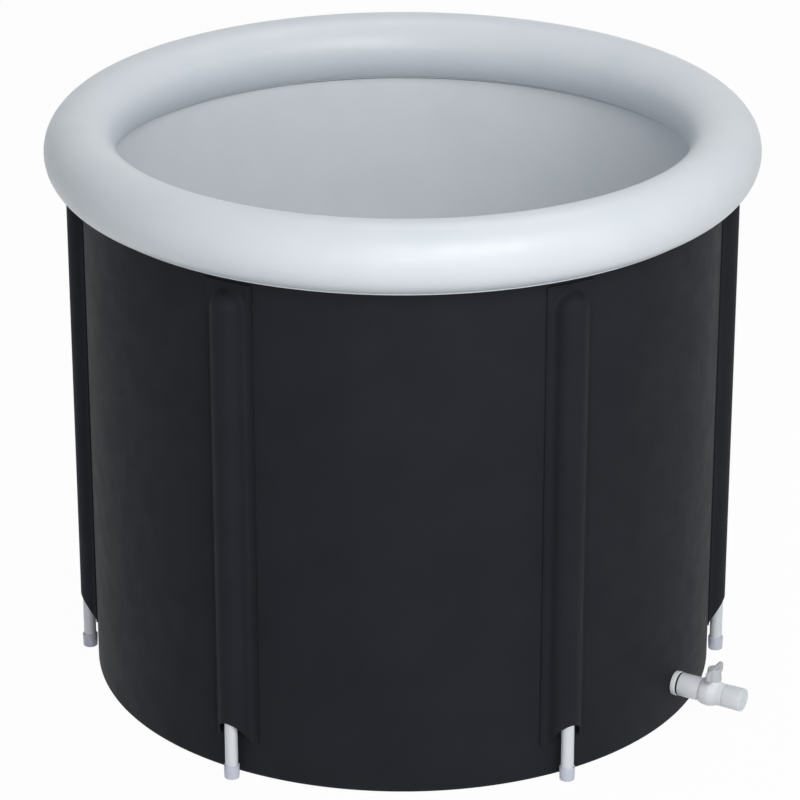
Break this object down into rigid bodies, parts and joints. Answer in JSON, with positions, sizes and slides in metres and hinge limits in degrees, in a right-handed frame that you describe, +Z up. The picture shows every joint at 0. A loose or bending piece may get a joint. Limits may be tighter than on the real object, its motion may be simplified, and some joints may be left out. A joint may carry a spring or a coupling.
{
  "type": "cold plunge tub",
  "caption": "Portable round cold plunge tub with a layered soft wall, inflated rim ring, poles in welded side pockets and a drain ball valve low on the wall.",
  "frame": {"origin": "centre of the base sheet's underside, on the floor", "axes": "+Z up along the tub's axis, -Y towards the front, +X towards the drain's side"},
  "size_m": [0.8898, 0.8964, 0.7459],
  "materials": {
    "black_skin": "satin coated fabric, fine weave grain",
    "white_vinyl": "soft white vinyl sheet, satin",
    "wall_foam": "closed-cell foam, matt",
    "white_plastic": "moulded white plastic, satin gloss",
    "cap_plastic": "pale grey moulded plastic, satin",
    "handle_plastic": "warm grey moulded plastic, satin",
    "seat_plastic": "slippery white plastic",
    "black_rubber": "soft black rubber, matt"
  },
  "bodies": {
    "tub": {"outer_skin": "black_skin", "base_sheet": "black_skin", "pole_pocket_1": "black_skin", "pole_pocket_2": "black_skin", "pole_pocket_3": "black_skin", "pole_pocket_4": "black_skin", "pole_pocket_5": "black_skin", "pole_pocket_6": "black_skin", "liner_wall": "white_vinyl", "liner_floor": "white_vinyl", "ring_band": "white_vinyl", "air_ring": "white_vinyl", "air_valve_base": "white_vinyl", "wall_foam": "wall_foam", "base_foam": "wall_foam", "drain_bulkhead": "white_plastic", "drain_strainer": "white_plastic", "drain_collar": "white_plastic", "valve_body": "white_plastic", "valve_outlet": "white_plastic", "ball_seat_inner": "seat_plastic", "ball_seat_outer": "seat_plastic", "drain_gasket": "black_rubber", "drain_seal": "black_rubber", "stem_seal": "black_rubber", "air_valve_flap": "black_rubber"},
    "pole_1": {"pole_1": "white_plastic", "foot_cap_1": "cap_plastic", "top_plug_1": "white_plastic"},
    "pole_2": {"pole_2": "white_plastic", "foot_cap_2": "cap_plastic", "top_plug_2": "white_plastic"},
    "pole_3": {"pole_3": "white_plastic", "foot_cap_3": "cap_plastic", "top_plug_3": "white_plastic"},
    "pole_4": {"pole_4": "white_plastic", "foot_cap_4": "cap_plastic", "top_plug_4": "white_plastic"},
    "pole_5": {"pole_5": "white_plastic", "foot_cap_5": "cap_plastic", "top_plug_5": "white_plastic"},
    "pole_6": {"pole_6": "white_plastic", "foot_cap_6": "cap_plastic", "top_plug_6": "white_plastic"},
    "drain_handle": {"valve_handle": "handle_plastic", "valve_stem": "white_plastic", "valve_ball": "white_plastic"},
    "drain_plug": {"outlet_plug": "white_plastic", "plug_seal": "black_rubber"},
    "air_cap": {"air_valve_cap": "white_vinyl"}
  },
  "joints": [
    {"name": "pole_1_slide", "type": "slide", "parent": "tub", "child": "pole_1", "axis": [0, 0, -1], "range_m": [0, 0.6]},
    {"name": "pole_2_slide", "type": "slide", "parent": "tub", "child": "pole_2", "axis": [0, 0, -1], "range_m": [0, 0.6]},
    {"name": "pole_3_slide", "type": "slide", "parent": "tub", "child": "pole_3", "axis": [0, 0, -1], "range_m": [0, 0.6]},
    {"name": "pole_4_slide", "type": "slide", "parent": "tub", "child": "pole_4", "axis": [0, 0, -1], "range_m": [0, 0.6]},
    {"name": "pole_5_slide", "type": "slide", "parent": "tub", "child": "pole_5", "axis": [0, 0, -1], "range_m": [0, 0.6]},
    {"name": "pole_6_slide", "type": "slide", "parent": "tub", "child": "pole_6", "axis": [0, 0, -1], "range_m": [0, 0.6]},
    {"name": "drain_handle_turn", "type": "hinge", "parent": "tub", "child": "drain_handle", "pos_m": [0.39352, -0.2272, 0.052], "axis": [0, 0, 1], "range_deg": [0, 90]},
    {"name": "drain_plug_pull", "type": "slide", "parent": "tub", "child": "drain_plug", "axis": [0.866, -0.5, 0], "range_m": [0, 0.03]},
    {"name": "air_cap_hinge", "type": "hinge", "parent": "tub", "child": "air_cap", "pos_m": [0, 0.44462, 0.7185], "axis": [1, 0, 0], "range_deg": [0, 100]}
  ]
}
